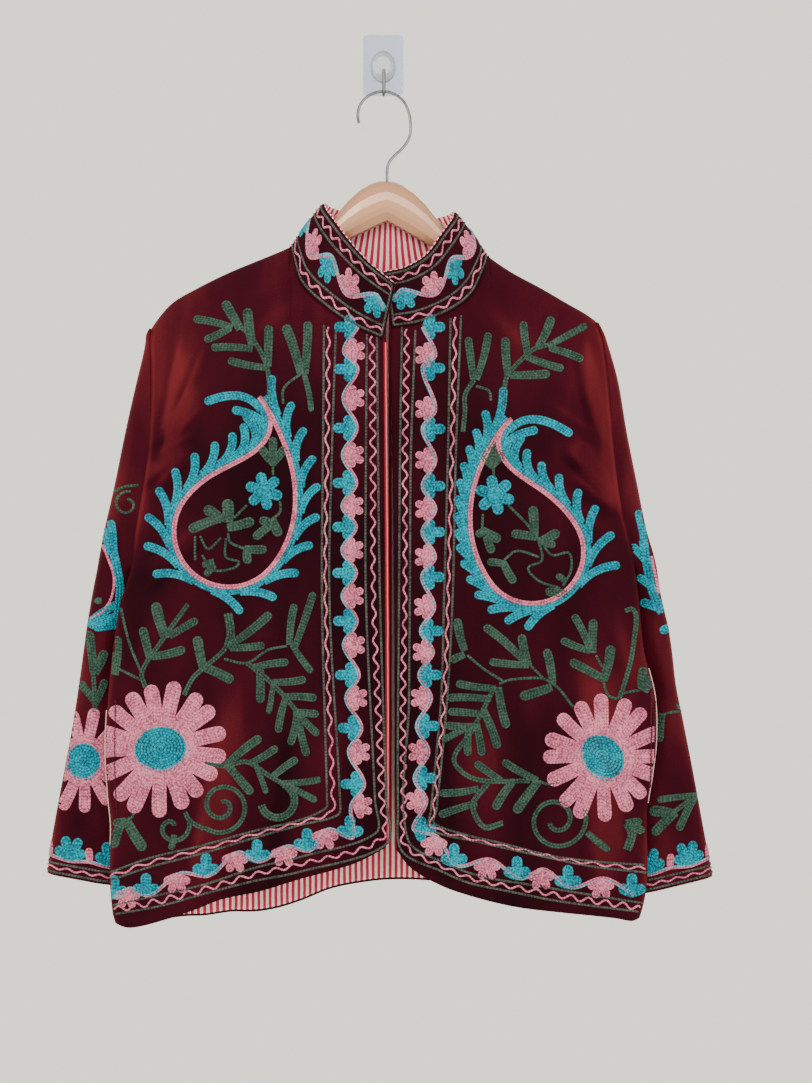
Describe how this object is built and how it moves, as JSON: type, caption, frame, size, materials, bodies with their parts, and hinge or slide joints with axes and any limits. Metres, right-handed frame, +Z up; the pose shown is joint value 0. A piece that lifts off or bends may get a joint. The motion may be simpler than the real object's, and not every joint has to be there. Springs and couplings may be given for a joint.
{
  "type": "embroidered jacket on a hanger and wall hook",
  "caption": "Hip-length velvet jacket with stand collar, open front, long sleeves and striped lining, held by a hanger on a clear wall hook.",
  "frame": {"origin": "centre of the wall plate's back face", "axes": "+Z up along the jacket's length, +Y into the wall, +X to the right as seen from the front"},
  "size_m": [0.6805, 0.0635, 0.9116],
  "materials": {
    "velvet": "deep maroon pile",
    "striped_cotton": "woven stripes, red and white",
    "pale_cotton": "plain weave",
    "pearly_plastic": "pearly gloss",
    "steel": "bright wire",
    "clear_plastic": "clear"
  },
  "bodies": {
    "root": {"front_left": "velvet", "front_right": "velvet", "back": "velvet", "sleeve_left": "velvet", "sleeve_right": "velvet", "collar": "velvet", "collar_lining": "striped_cotton", "lining_back": "striped_cotton", "lining_front_left": "striped_cotton", "pocket_edge_left": "pale_cotton", "pocket_edge_right": "pale_cotton", "hanger_body": "pearly_plastic", "hanger_hook": "steel", "wall_prong": "steel", "wall_plate": "clear_plastic", "wall_boss": "clear_plastic"}
  },
  "joints": []
}
